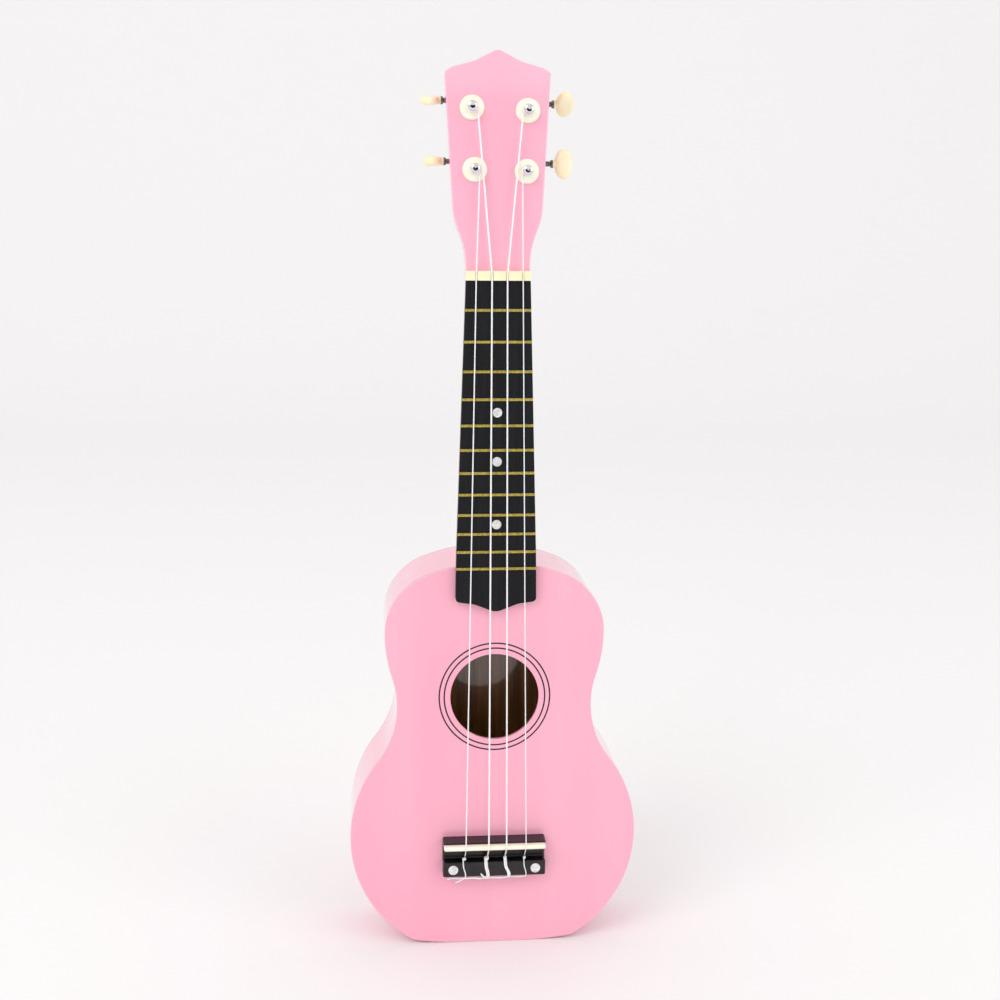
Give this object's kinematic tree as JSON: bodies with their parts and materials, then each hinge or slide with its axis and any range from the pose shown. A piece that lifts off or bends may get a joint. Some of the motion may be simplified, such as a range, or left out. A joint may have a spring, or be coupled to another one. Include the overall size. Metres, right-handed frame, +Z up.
{
  "type": "ukulele",
  "caption": "Soprano ukulele with a hollow figure-eight body, screwed-on fretted neck, tie bridge and geared tuners whose buttons turn the string posts.",
  "frame": {"origin": "bottom centre of the whole instrument's box, on the surface it stands on", "axes": "+X to the right seen from the front, +Y from the soundboard to the back, +Z up the neck"},
  "size_m": [0.1766, 0.0698, 0.541],
  "materials": {
    "painted_wood": "pink gloss lacquer",
    "bare_wood": "unfinished",
    "black_wood": "black satin stain",
    "ring_ink": "flush inlay",
    "ivory_plastic": "moulded",
    "fret_brass": "drawn wire, tarnished",
    "pearl": "pearl",
    "steel": "zinc plated",
    "chrome": "polished plate",
    "gear_brass": "machined",
    "nylon": "drawn monofilament"
  },
  "bodies": {
    "instrument": {"soundboard": "painted_wood", "back_plate": "painted_wood", "left_side": "painted_wood", "right_side": "painted_wood", "neck": "painted_wood", "neck_block": "bare_wood", "tail_block": "bare_wood", "front_lining": "bare_wood", "back_lining": "bare_wood", "upper_top_brace": "bare_wood", "lower_top_brace": "bare_wood", "upper_back_brace": "bare_wood", "lower_back_brace": "bare_wood", "bridge_plate": "bare_wood", "fingerboard": "black_wood", "bridge": "black_wood", "rosette_rings": "ring_ink", "nut": "ivory_plastic", "saddle": "ivory_plastic", "post_bushings": "ivory_plastic", "frets": "fret_brass", "fret_markers": "pearl", "bridge_dots": "pearl", "neck_screw": "steel", "bridge_screws": "steel", "tuner_screws": "steel", "g_tuner_plate": "chrome", "c_tuner_plate": "chrome", "e_tuner_plate": "chrome", "a_tuner_plate": "chrome", "g_string": "nylon", "c_string": "nylon", "e_string": "nylon", "a_string": "nylon"},
    "g_button_shaft": {"g_button": "ivory_plastic", "g_worm_shaft": "chrome"},
    "c_button_shaft": {"c_button": "ivory_plastic", "c_worm_shaft": "chrome"},
    "e_button_shaft": {"e_button": "ivory_plastic", "e_worm_shaft": "chrome"},
    "a_button_shaft": {"a_button": "ivory_plastic", "a_worm_shaft": "chrome"},
    "g_string_post": {"g_gear_screw": "steel", "g_post": "chrome", "g_gear": "gear_brass", "g_winding": "nylon"},
    "c_string_post": {"c_gear_screw": "steel", "c_post": "chrome", "c_gear": "gear_brass", "c_winding": "nylon"},
    "e_string_post": {"e_gear_screw": "steel", "e_post": "chrome", "e_gear": "gear_brass", "e_winding": "nylon"},
    "a_string_post": {"a_gear_screw": "steel", "a_post": "chrome", "a_gear": "gear_brass", "a_winding": "nylon"}
  },
  "joints": [
    {"name": "g_button_turn", "type": "hinge", "parent": "instrument", "child": "g_button_shaft", "pos_m": [-0.0134, 0.00098, 0.47909], "axis": [-1, 0, 0], "continuous": true},
    {"name": "g_post_turn", "type": "hinge", "parent": "instrument", "child": "g_string_post", "pos_m": [-0.0134, -0.00332, 0.47294], "axis": [0, 0.9962, -0.0872], "continuous": true},
    {"name": "c_button_turn", "type": "hinge", "parent": "instrument", "child": "c_button_shaft", "pos_m": [-0.0149, 0.00402, 0.51375], "axis": [-1, 0, 0], "continuous": true},
    {"name": "c_post_turn", "type": "hinge", "parent": "instrument", "child": "c_string_post", "pos_m": [-0.0149, -0.00029, 0.5076], "axis": [0, 0.9962, -0.0872], "continuous": true},
    {"name": "e_button_turn", "type": "hinge", "parent": "instrument", "child": "e_button_shaft", "pos_m": [0.0172, 0.00389, 0.51236], "axis": [1, 0, 0], "continuous": true},
    {"name": "e_post_turn", "type": "hinge", "parent": "instrument", "child": "e_string_post", "pos_m": [0.0172, -0.00041, 0.50621], "axis": [0, 0.9962, -0.0872], "continuous": true},
    {"name": "a_button_turn", "type": "hinge", "parent": "instrument", "child": "a_button_shaft", "pos_m": [0.0166, 0.00091, 0.47829], "axis": [1, 0, 0], "continuous": true},
    {"name": "a_post_turn", "type": "hinge", "parent": "instrument", "child": "a_string_post", "pos_m": [0.0166, -0.00339, 0.47214], "axis": [0, 0.9962, -0.0872], "continuous": true}
  ],
  "couplings": [
    {"joint": "g_post_turn", "follows": "g_button_turn", "ratio": 0.071429},
    {"joint": "c_post_turn", "follows": "c_button_turn", "ratio": 0.071429},
    {"joint": "e_post_turn", "follows": "e_button_turn", "ratio": 0.071429},
    {"joint": "a_post_turn", "follows": "a_button_turn", "ratio": 0.071429}
  ]
}
